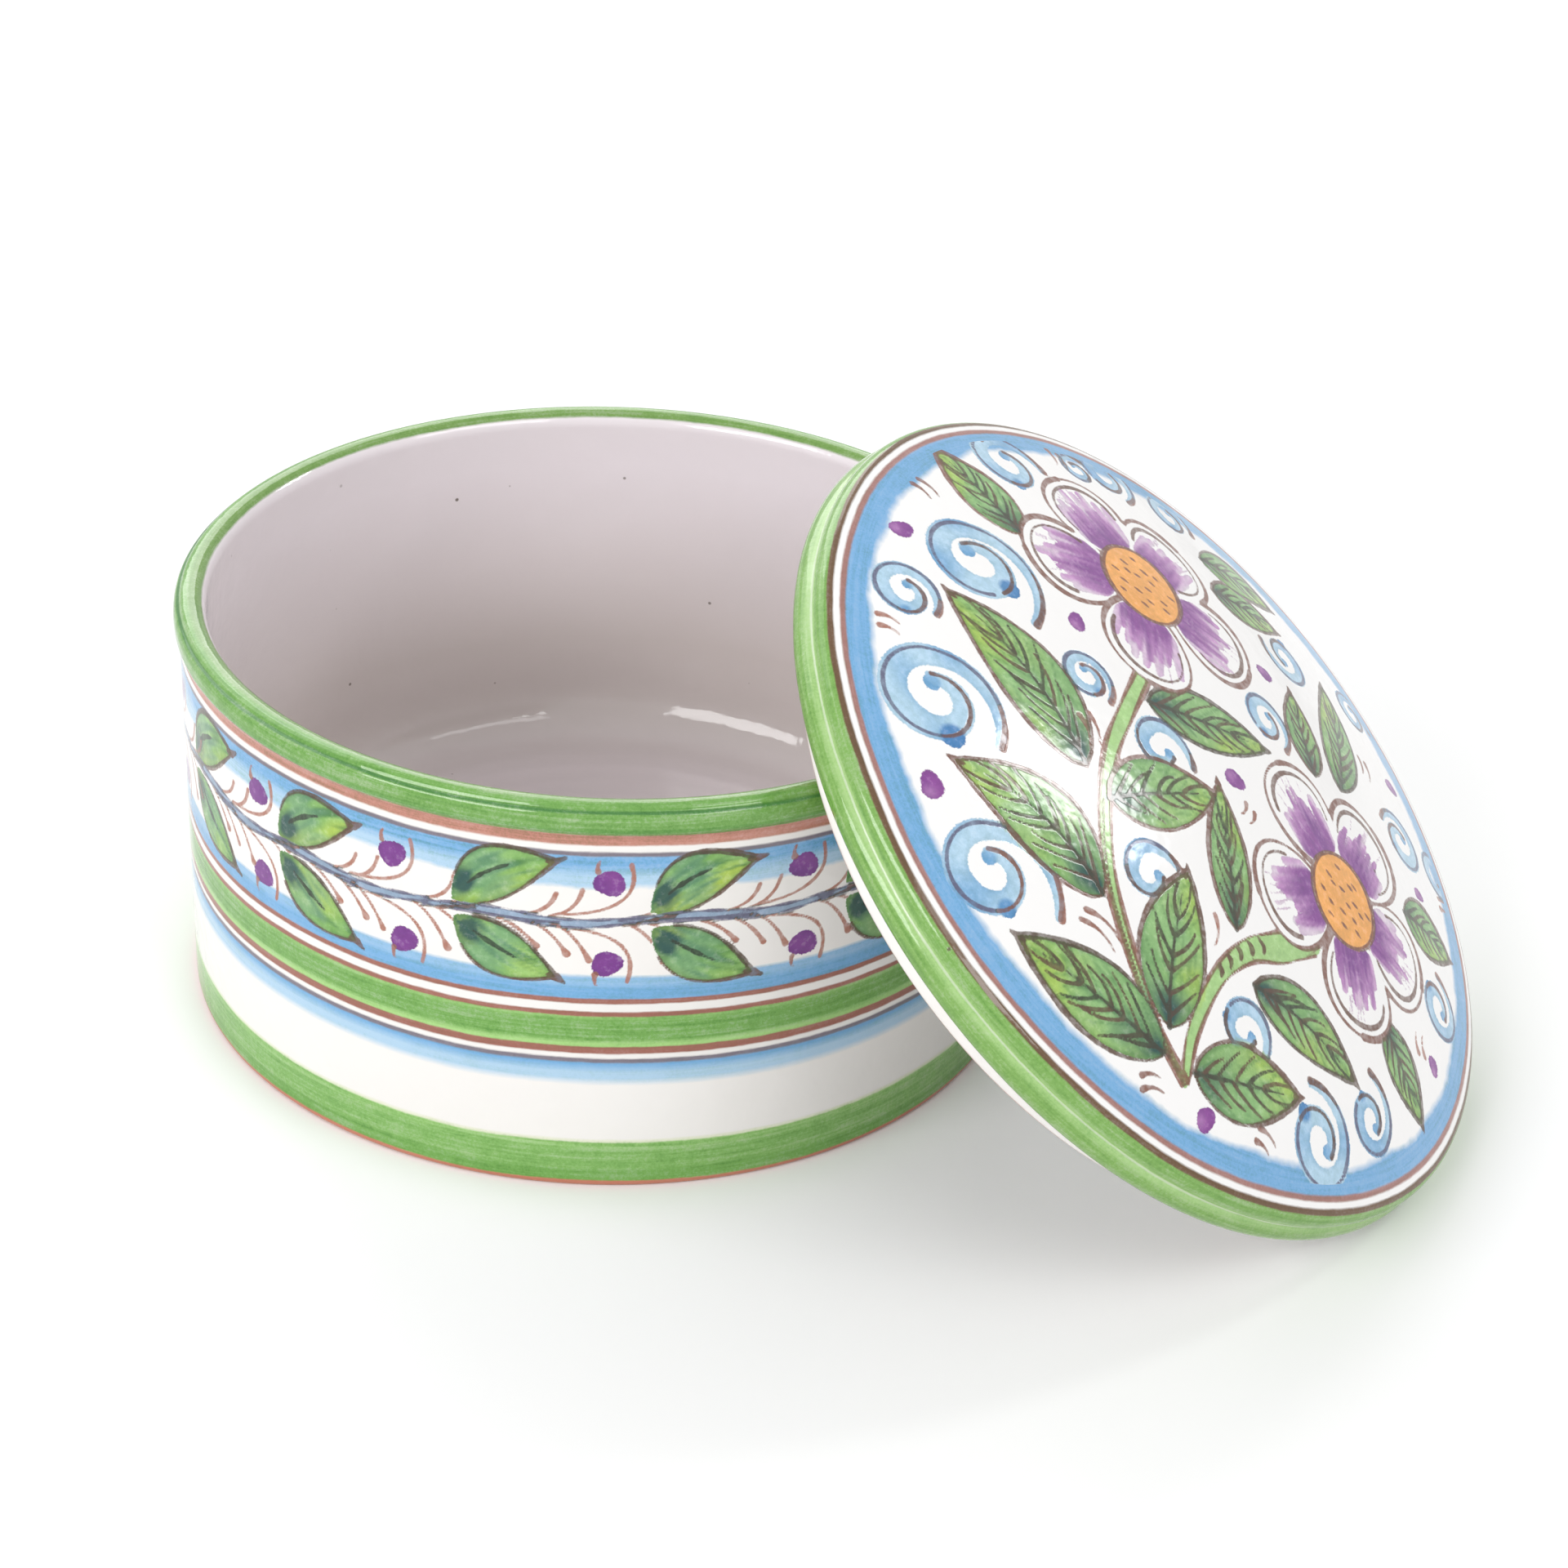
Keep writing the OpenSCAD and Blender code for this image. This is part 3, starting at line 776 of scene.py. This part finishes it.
def paint_wall(angle, height):
    """the garland, by angle in degrees and height: a stem with pairs of leaves and berries"""
    pt = Painter(np.stack([angle, height], -1), 17)
    arc_per_degree = math.radians(1) * GARLAND_R
    for n in range(REPEATS):
        at = -137.5 + 360 / REPEATS * n + pt.rng.uniform(-1.3, 1.3)
        along = ((angle - at + 180) % 360 - 180) * arc_per_degree
        pt.p = np.stack([along, height + 0.5 * np.sin(np.radians(angle * 3 + 40))], -1)
        lift = pt.rng.uniform(-0.5, 0.5)
        for x, size in UPPER_HAIRS:
            x += pt.rng.uniform(-0.5, 0.5)
            pt.track(bezier((x, 46), (x + 3.6, 46.6), (x + 4.4, 46 + size), 9), (0.2, 0.33), 0.12)
        for x, size in LOWER_HAIRS:
            x += pt.rng.uniform(-0.5, 0.5)
            hair = bezier((x, 44.8), (x + 3, 44), (x + 5.4, 44.4 - size), 9)
            pt.track(hair, np.append(np.linspace(0.2, 0.31, 9)[:-1], 0.55), 0.12)
        for x, z, up in ((21.4, 51.6, 1), (22.2, 38.2, -1)):
            x += pt.rng.uniform(-0.6, 0.6)
            z += pt.rng.uniform(-0.4, 0.4)
            stalk = bezier((x - 7, 45.2 + up), (x + 5.2, 45.2 + up * 1.6), (x + 2.9, z + up * 3), 12)
            pt.track(stalk, (0.2, 0.32), 0.12)
            dot(pt, (x, z), 2, 1.15, pt.rng.uniform(-0.5, 0.9), 1)
            tuft = bezier((x - 1.6, z + up * 1.8), (x - 1.9, z + up * 2.8), (x - 1.4, z + up * 3.6), 6)
            pt.track(tuft, (0.5, 0.36, 0.28, 0.24, 0.2, 0.16), 0.2)
        leaf(pt, (-0.2, 46.7), (14.6, 54.4 + lift), 8.4, 0.11, 0, False)
        leaf(pt, (0, 43.9), (14.8, 35.4 + lift), 8, -0.05, 0, False)
        # the stem is laid in overlapping strokes, each with a fork at its start
        s = np.linspace(-4.5, 26.5, 14)
        stem = np.stack([s, 45.3 + 0.5 * np.sin(s * 0.24 + 0.6)], -1)
        ribbon(pt, stem, (0.7, 1.25, 1.5, 1.3, 0.8), STEM_GREY, TOP_TONE, 0.22)
        pt.track(bezier((1, 45.3), (6.5, 45), (15, 44.9), 8), (0.42, 0.2), TOP_TONE)
        pt.track(bezier((-4, 44.6), (-1, 45), (3, 46), 8), (0.2, 0.42), 0.6)
    return pt


# Shader nodes

class Nodes:
    """the node tree of a material or of the world"""
    def __init__(self, owner):
        self.owner = owner
        owner.use_nodes = True
        self.tree = owner.node_tree
        self.tree.nodes.clear()

    def node(self, kind, inputs=None, **props):
        n = self.tree.nodes.new(kind)
        for key, value in props.items():
            setattr(n, key, value)
        for key, value in (inputs or {}).items():
            self.put(n.inputs[key], value)
        return n

    def put(self, socket, value):
        if isinstance(value, bpy.types.NodeSocket):
            self.tree.links.new(value, socket)
        elif socket.type == "RGBA":
            socket.default_value = (*[float(v) for v in value], 1)
        else:
            socket.default_value = value

    def finish(self, kind, surface):
        self.node(kind, {"Surface": surface.outputs[0]})
        return self.owner

    def attribute(self, name, output="Fac"):
        return self.node("ShaderNodeAttribute", attribute_name=name).outputs[output]

    def math(self, op, a, b=0):
        return self.node("ShaderNodeMath", {0: a, 1: b}, operation=op).outputs[0]

    def plus(self, first, *others):
        for other in others:
            first = self.math("ADD", first, other)
        return first

    def times(self, first, *others):
        for other in others:
            first = self.math("MULTIPLY", first, other)
        return first

    def noise(self, where, scale, detail=3, rough=0.5):
        inputs = {"Vector": where, "Scale": scale, "Detail": detail, "Roughness": rough}
        return self.node("ShaderNodeTexNoise", inputs).outputs["Fac"]

    def cells(self, where, scale):
        return self.node("ShaderNodeTexVoronoi", {"Vector": where, "Scale": scale}).outputs["Distance"]

    def remap(self, value, a, b, c=0, d=1, smooth=False):
        inputs = {"Value": value, "From Min": a, "From Max": b, "To Min": c, "To Max": d}
        curve = "SMOOTHSTEP" if smooth else "LINEAR"
        return self.node("ShaderNodeMapRange", inputs, interpolation_type=curve).outputs["Result"]

    def mix(self, factor, a, b, mode="MIX"):
        """a with b over it; the node itself keeps the factor between 0 and 1"""
        inputs = {0: factor, 6: a, 7: b}
        return self.node("ShaderNodeMix", inputs, data_type="RGBA", blend_type=mode).outputs[2]

    def ramp(self, value, stops):
        n = self.node("ShaderNodeValToRGB", {"Fac": value})
        elements = n.color_ramp.elements
        elements.remove(elements[-1])
        for k, (pos, colour) in enumerate(stops):
            e = elements[0] if k == 0 else elements.new(pos)
            e.position = pos
            e.color = (*[float(v) for v in colour], 1)
        return n.outputs["Color"]

    def seen(self):
        """1 for what the camera, a reflection or glass shows, 0 for light on the object"""
        path = self.node("ShaderNodeLightPath").outputs
        shown = self.math("MAXIMUM", path["Is Camera Ray"], path["Is Glossy Ray"])
        return self.math("MAXIMUM", shown, path["Is Transmission Ray"])


def painted_glaze(name, bands, cuts, loose, gloss, ring_height):
    """glossy white glaze with turned bands, then the brush painting of the vertices.
    bands are (place, colour, pigment) from low to high along the outline; pigment says how
    much the brush's streaks show. The wash that ends at the place called loose wanders most.
    Throwing rings of ring_height show faintly on the floor near the wall."""
    m = Nodes(bpy.data.materials.new(name))
    pot = m.attribute("pot", "Vector")
    band = m.attribute("band")
    turn = m.attribute("round", "Vector")

    def turned(stretch, *texture):
        """noise that is drawn out round the pot"""
        where = m.node("ShaderNodeVectorMath", {0: turn, 1: stretch}, operation="MULTIPLY").outputs[0]
        return m.noise(where, *texture)

    # slow wander of the turned brush, its fine fraying, and the drift of the loosest edge
    wander = turned((1, 1, 0.02), 0.3, 2)
    fray = turned((1, 1, 0.35), 2.6, 4, 0.7)
    drift = turned((1, 1, 0.1), 0.8, 4, 0.6)
    near = m.remap(m.math("ABSOLUTE", m.math("SUBTRACT", band, loose)), 1, 2.6, 1, 0)
    place = m.plus(
        band,
        m.remap(wander, 0.3, 0.7, -0.16, 0.16),
        m.remap(fray, 0.25, 0.75, -0.09, 0.09),
        m.times(near, m.remap(drift, 0.3, 0.7, -0.7, 0.7)),
    )
    banding = band_ramps(m, place, cuts, [(z, colour) for z, colour, pigment in bands])
    amount = band_ramps(m, place, cuts, [(z, (pigment,) * 3) for z, colour, pigment in bands])
    # brush streaks run round the pot, with seams where the brush was lifted
    streak = turned((0.5, 0.5, 1.5), 1, 4, 0.6)
    seam = turned((1.3, 1.3, 0.22), 1, 5, 0.7)
    dense = m.times(m.plus(
        m.remap(streak, 0.34, 0.66, -0.6, 0.75),
        m.remap(m.noise(pot, 2.3, 4, 0.75), 0.32, 0.68, -0.6, 0.6),
        m.remap(m.noise(pot, 0.35, 3, 0.6), 0.35, 0.65, -0.3, 0.3),
        m.remap(seam, 0.6, 0.74, 0, 0.55, True),
    ), amount)
    banding = m.mix(m.times(dense, 0.8), banding, (0.52, 0.68, 0.46), "MULTIPLY")
    banding = m.mix(m.times(dense, -0.18), banding, WHITE)
    # the washes, mottled and grainy, with pigment pooled along their edges
    fill = m.attribute("fill", "Vector")
    bleed = m.plus(m.attribute("fill_d"), m.remap(m.noise(pot, 2.4, 3, 0.6), 0.25, 0.75, -0.16, 0.16))
    inside = m.remap(bleed, 0.1, -0.1, 0, 1, True)
    grain = m.noise(pot, 4, 4, 0.7)
    mottle = m.noise(pot, 0.8, 4, 0.65)
    pigment = m.mix(m.remap(mottle, 0.38, 0.68, 0, 0.5), fill, (0.56, 0.64, 0.6), "MULTIPLY")
    pigment = m.mix(m.remap(mottle, 0.46, 0.26, 0, 0.3), pigment, m.mix(0.5, fill, WHITE))
    pigment = m.mix(m.remap(grain, 0.35, 0.7, 0, 0.25), pigment, (0.7, 0.72, 0.72), "MULTIPLY")
    pigment = m.mix(m.remap(bleed, -0.7, 0, 0, 0.22), pigment, (0.6, 0.62, 0.6), "MULTIPLY")
    colour = m.mix(inside, banding, pigment)
    # brown brush lines
    thin = m.plus(m.attribute("line_d"), m.remap(m.noise(pot, 3.3, 3, 0.7), 0.3, 0.75, -0.05, 0.06))
    drawn = m.remap(thin, 0.12, -0.1, 0, 1, True)
    brown = m.ramp(m.math("DIVIDE", m.attribute("tone"), TOP_TONE), LINE_TONES)
    brown = m.mix(m.times(inside, 0.35), brown, pigment, "MULTIPLY")
    colour = m.mix(m.times(drawn, m.remap(m.noise(pot, 0.9), 0.3, 0.6, 0.72, 0.97)), colour, brown)
    # faint cloudiness of the white glaze, and a few pinholes, with more of them inside the box
    cloud = m.remap(m.noise(pot, 0.06, 4, 0.6), 0.35, 0.65, 0, 0.10)
    colour = m.mix(cloud, colour, (0.93, 0.90, 0.88), "MULTIPLY")
    inner = m.times(m.remap(m.cells(pot, 0.13), 0.043, 0.025, 0, 0.7), m.remap(band, 70, 74))
    hole = m.math("MAXIMUM", m.remap(m.cells(pot, 0.055), 0.02, 0.012, 0, 0.85), inner)
    colour = m.mix(hole, colour, PINHOLE)
    # relief: pigment stands a little proud, the glaze is never quite even
    rings = m.math("SINE", m.plus(m.times(band, 1.35), m.times(wander, 3)))
    near_wall = m.times(m.remap(band, 112, 122), m.remap(band, 160, 134))
    relief = m.plus(
        m.times(inside, 0.018),
        m.times(drawn, 0.02),
        m.times(m.noise(pot, 0.22, 2), 0.22),
        m.times(m.noise(pot, 1.6, 2), 0.012),
        m.times(rings, near_wall, ring_height),
        m.times(hole, -0.08),
    )
    bump = m.node("ShaderNodeBump", {"Height": relief, "Strength": 0.55, "Distance": 0.001})
    # bare clay where the foot stands on the table
    clay = m.attribute("clay")
    bare = m.mix(m.remap(m.noise(pot, 1.4, 5, 0.7), 0.35, 0.65), BARE_CLAY, BARE_CLAY_PALE)
    rough = m.plus(m.remap(m.noise(pot, 0.5), 0.3, 0.7, gloss, gloss * 1.7), m.times(clay, 0.6))
    return m.finish("ShaderNodeOutputMaterial", m.node("ShaderNodeBsdfPrincipled", {
        "Base Color": m.mix(clay, colour, bare), "Roughness": rough, "IOR": 1.52,
        "Normal": bump.outputs["Normal"],
    }))


def band_ramps(m, place, cuts, bands):
    """colours along the outline, with a ramp for each stretch between cuts, so that lines stay crisp"""
    out = None
    for low, high in zip(cuts[:-1], cuts[1:]):
        below = [colour for z, colour in bands if z <= low]
        stops = [(0, below[-1])] if below else []
        stops += [((z - low) / (high - low), colour) for z, colour in bands if low < z < high]
        ramp = m.ramp(m.remap(place, low, high), stops)
        out = ramp if out is None else m.mix(m.math("GREATER_THAN", place, low), out, ramp)
    return out


def edges(*steps):
    """band edges: (place, colour, pigment, softness) from low to high"""
    out = []
    last = None
    for place, colour, pigment, soft in steps:
        if last is not None:
            out.append((place - soft / 2, last[0], last[1]))
        out.append((place + soft / 2, colour, pigment))
        last = (colour, pigment)
    return out


# Skins

def seated_to_row(p):
    """from the lid as closed, seat at the origin, to its place in the row"""
    x = LID_X + p[:, 0] * math.cos(LEAN) + p[:, 2] * math.sin(LEAN)
    z = LID_Z - p[:, 0] * math.sin(LEAN) + p[:, 2] * math.cos(LEAN)
    return np.stack([x, p[:, 1], z], -1)


def finish_skin(obj, pts, band, pt, touched, clay):
    """what the glaze reads: place on the pot, direction round it, place along the outline, painting"""
    way = pts[:, :2] / np.maximum(np.hypot(*pts[:, :2].T), 1e-6)[:, None]
    turn = np.column_stack([way * 6, band])
    for name, values in (("pot", pts), ("round", turn), ("band", band), ("clay", clay)):
        add_attribute(obj, name, values)
    for name, values in zip(PAINT, unpainted(len(pts))):
        values[touched] = getattr(pt, name)
        add_attribute(obj, name, values)


def wavering(a, z):
    """how far the thrown wall wavers"""
    return 0.07 * np.sin(2 * a + 0.9) + 0.05 * np.sin(3 * a + z * 0.05)


# Box. The place along its outline is the height on the wall, and runs on over the rim.
rows = box_rows()
wall_start = nearest_row(rows, FOOT_R, FOOT_EDGE_R + 0.3)
length = arc_length(rows)
length += rows[wall_start, 1] - length[wall_start]
# where the green ends, just inside the crest of the rim
lip = length[nearest_row(rows, 61.25, 63.58)]
# points in each ring, most of them under the garland
r, z = rows.T
painted = (r > 63) & (z > GARLAND_LOW - 0.1) & (z < GARLAND_HIGH + 0.1)
counts = np.select([r < 0.001, painted, z > GARLAND_HIGH, r > 30], [1, 1050, 300, 240], 120)
pts, tris, rows_of = ring_mesh(rows, counts, wavering)
box = new_mesh("box_glazed", pts, tris)
band = np.repeat(length, counts)
touched = np.nonzero(np.repeat(painted, counts))[0]
garland = paint_wall(np.degrees(np.arctan2(pts[touched, 1], pts[touched, 0])), pts[touched, 2])
under = (pts[:, 2] < 0.55) & (np.hypot(pts[:, 0], pts[:, 1]) > FOOT_IN_R - 0.5)
finish_skin(box, pts, band, garland, touched, under.astype(float))

box_bands = edges(
    (0.2, CLAY, 0.2, 0.1),
    (1.05, GREEN, 0.9, 0.25),
    (3, blend(GREEN, GREEN_LIGHT, 0.25), 1, 0.4),
    (6.9, blend(GREEN_LIGHT, GREEN, 0.4), 0.9, 1.4),
    (7.75, blend(GREEN_YELLOW, WHITE, 0.7), 0.4, 0.3),
    (8.2, WHITE, 0, 0.5),
    (18.3, BLUE_LIGHT, 0.25, 1.2),
    (20.6, BLUE, 0.3, 1.4),
    (21.6, GREY_LINE, 0.3, 0.3),
    (22.35, WHITE, 0, 0.3),
    (23.15, BROWN, 0.4, 0.25),
    (24.35, GREEN_LIGHT, 0.5, 0.2),
    (25.2, GREEN, 1, 0.9),
    (28.9, blend(GREEN_LIGHT, GREEN, 0.5), 0.8, 0.6),
    (29.5, BROWN, 0.4, 0.2),
    (30.3, WHITE, 0, 0.25),
    (31.65, BROWN, 0.4, 0.25),
    (32.5, BLUE, 0.5, 0.25),
    (34.6, blend(BLUE, BLUE_LIGHT, 0.4), 0.5, 1),
    (36.3, WHITE, 0, 0.6),
    (51.2, BLUE_LIGHT, 0.5, 0.8),
    (53.6, BLUE, 0.8, 1.8),
    (56, GREY_LINE, 0.3, 0.2),
    (56.7, WHITE, 0, 0.25),
    (57.75, TERRA, 0.8, 0.3),
    (59.5, blend(GREEN, GREEN_DARK, 0.2), 1, 0.25),
    (61, LID_GREEN * 0.34 + GREEN * 0.54 + GREEN_DARK * 0.12, 1.1, 0.5),
    # darker green along the groove on the rim's shoulder: partly green pooled in the groove, partly
    # painted shade
    (63.25, blend(GREEN, GREEN_DARK, 0.75), 0.9, 0.25),
    (63.8, GREEN * 0.66 + LID_GREEN * 0.26 + GREEN_DARK * 0.08, 1, 0.3),
    (lip - 1.8, blend(GREEN, OLIVE, 0.25), 0.8, 0.6),
    # inside the mouth the white darkens down the wall to the floor: painted shade over the glaze's
    # pinkish tint
    (lip + 0.5, INNER_WHITE_PAINTED_SHADE, 0, 0.4),
    (lip + 22, INNER_LOW_PAINTED_SHADE, 0, 38),
    (lip + 61, FLOOR_WHITE_PAINTED_SHADE, 0, 14),
)
glaze = painted_glaze("painted_box_glaze", box_bands, (0, 13, 44, 76, 150), 51, 0.055, 0.05)
box.data.materials.append(glaze)
# the baked map is cut under the foot, inside the mouth and at the floor
foot_row = nearest_row(rows, FOOT_R - 1, 0)
inside_row = nearest_row(rows, INNER_R, 60)
cove_row = nearest_row(rows, 53, 6.2)
bake_map(box, pts, tris, rows_of, band, (
    (0, foot_row, "disc", (0.06, 0.945, 0.05, True)),
    (foot_row, inside_row, "strip", (0.01, 0.01, 0.98, 0.325)),
    (inside_row, cove_row, "strip", (0.26, 0.71, 0.72, 0.13)),
    (cove_row, len(rows), "disc", (0.12, 0.79, 0.1, False)),
))
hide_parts("box_body")
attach(box, "box")

# Lid. The place along its outline is the radius on the dome, and runs on over the rolls.
rows = lid_rows()
shoulder_row = nearest_row(rows, 64.49, 8.06)
length = arc_length(rows)
length += rows[shoulder_row, 0] - length[shoulder_row]
length[:shoulder_row] = rows[:shoulder_row, 0]
# points in each ring, most of them under the flowers
row = np.arange(len(rows))
painted = row <= PAINT_RINGS + 4
counts = np.select(
    [row == 0, row == len(rows) - 1, row <= PAINT_RINGS, painted, length < 80, row < len(rows) - 13],
    [1, 1, 6 * row, 660, 450, 220],
    120,
)
pts, tris, rows_of = ring_mesh(rows, counts)
lid = new_mesh("lid_glazed", seated_to_row(pts), tris)
band = np.repeat(length, counts)
touched = np.nonzero(np.repeat(painted, counts))[0]
finish_skin(lid, pts, band, paint_lid(pts[touched, :2]), touched, np.zeros(len(pts)))

# the lid's white bands are painted lighter than the box's white: painted light
lid_bands = edges(
    (0, LID_WHITE_PAINTED_LIGHT, 0, 0.1),
    (59.1, BLUE, 0.6, 1.1),
    (62.75, RED_BROWN * 0.4 + TERRA * 0.35 + GREY_LINE * 0.25, 0.5, 0.3),
    (63.6, LID_WHITE_PAINTED_LIGHT, 0, 0.3),
    (64.5, OLIVE, 0.5, 0.3),
    (65.45, blend(LID_GREEN, GREEN, 0.2), 0.9, 0.2),
    # paler green along the valley between the rolls: partly thinner green there, partly a painted
    # highlight
    (67.8, LID_GREEN_LIGHT, 0.6, 1),
    (68.35, blend(LID_GREEN_LIGHT, WHITE, 0.4), 0.3, 0.2),
    (68.7, LID_GREEN_LIGHT, 0.6, 0.2),
    (69.5, LID_GREEN, 0.9, 1),
    (73.9, WHITE, 0, 0.3),
    (86.6, blend(TERRA, WHITE, 0.4), 0.2, 0.3),
    (89, WHITE, 0, 0.5),
)
glaze = painted_glaze("painted_lid_glaze", lid_bands, (56, 78, 96), 59, 0.085, 0)
lid.data.materials.append(glaze)
seat_row = nearest_row(rows, LID_R - LOWER_R, 0)
bake_map(lid, pts, tris, rows_of, band, (
    (0, seat_row, "disc", (0.39, 0.61, 0.38, True)),
    (seat_row, len(rows), "disc", (0.81, 0.19, 0.18, False)),
))
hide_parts("lid")
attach(lid, "lid")


# Floor and backdrop
m = Nodes(bpy.data.materials.new("pale_floor"))
diffuse = m.node("ShaderNodeBsdfDiffuse", {"Color": (0.86, 0.86, 0.86)})
glow = m.node("ShaderNodeEmission", {"Color": (1, 1, 1), "Strength": m.times(m.seen(), 0.06)})
both = m.node("ShaderNodeAddShader", {0: diffuse.outputs[0], 1: glow.outputs[0]})
mesh = bpy.data.meshes.new("floor")
mesh.from_pydata([(-3, -3, 0), (3, -3, 0), (3, 3, 0), (-3, 3, 0)], [], [(0, 1, 2, 3)])
mesh.materials.append(m.finish("ShaderNodeOutputMaterial", both))
new_object("floor", mesh)


# Lamps, all turned to a point between the two pieces
AIM = 0.03, 0, 0.03


def turned_about(axis, angle):
    return Matrix.Rotation(angle, 4, axis)


def lamp(name, azimuth, height, distance, size, power):
    """a soft box that looks at the object from an azimuth and a height in degrees"""
    data = bpy.data.lights.new(name, "AREA")
    data.shape = "RECTANGLE"
    data.size, data.size_y = size
    data.energy = power
    new_object(name, data).matrix_world = (
        Matrix.Translation(AIM)
        @ turned_about("Z", math.radians(azimuth + 90))
        @ turned_about("X", math.radians(90 - height))
        @ Matrix.Translation((0, 0, distance))
    )


lamp("front_left", -110, 30, 1.3, (0.9, 0.42), 8.2)
lamp("right_side", -24, 40, 1.3, (0.8, 0.26), 3.4)
lamp("right_high", -20, 53, 1.3, (0.75, 0.2), 1.15)
lamp("left", 170, 40, 1.3, (0.9, 0.8), 3.4)
lamp("back_left", 125, 35, 1.3, (0.9, 0.8), 6.2)
lamp("back_window", 45.9, 33.2, 1.2, (0.15, 0.28), 1.9)

# White surroundings, which light the object at half their strength
m = Nodes(bpy.data.worlds.new("studio"))
level = m.remap(m.seen(), 0, 1, 0.5)
background = m.node("ShaderNodeBackground", {"Color": (1, 1, 1), "Strength": level})
bpy.context.scene.world = m.finish("ShaderNodeOutputWorld", background)

# Camera, at the photograph's viewing angle
YAW, PITCH, ROLL, TURN = 0.0510, 0.5300, 0.0530, math.radians(23.2)
CAMERA_BACK, CAMERA_UP, LENS = 0.52646, 0.33956, 91.32
camera = new_object("camera", bpy.data.cameras.new("camera"))
camera.matrix_world = (
    turned_about("Z", TURN)
    @ Matrix.Translation((0, -CAMERA_BACK, CAMERA_UP))
    @ turned_about("Z", -YAW)
    @ turned_about("X", math.pi / 2 - PITCH)
    @ turned_about("Z", ROLL)
)
camera.data.lens = LENS
camera.data.clip_start = 0.01
bpy.context.scene.camera = camera
bpy.context.scene.view_settings.view_transform = "Standard"
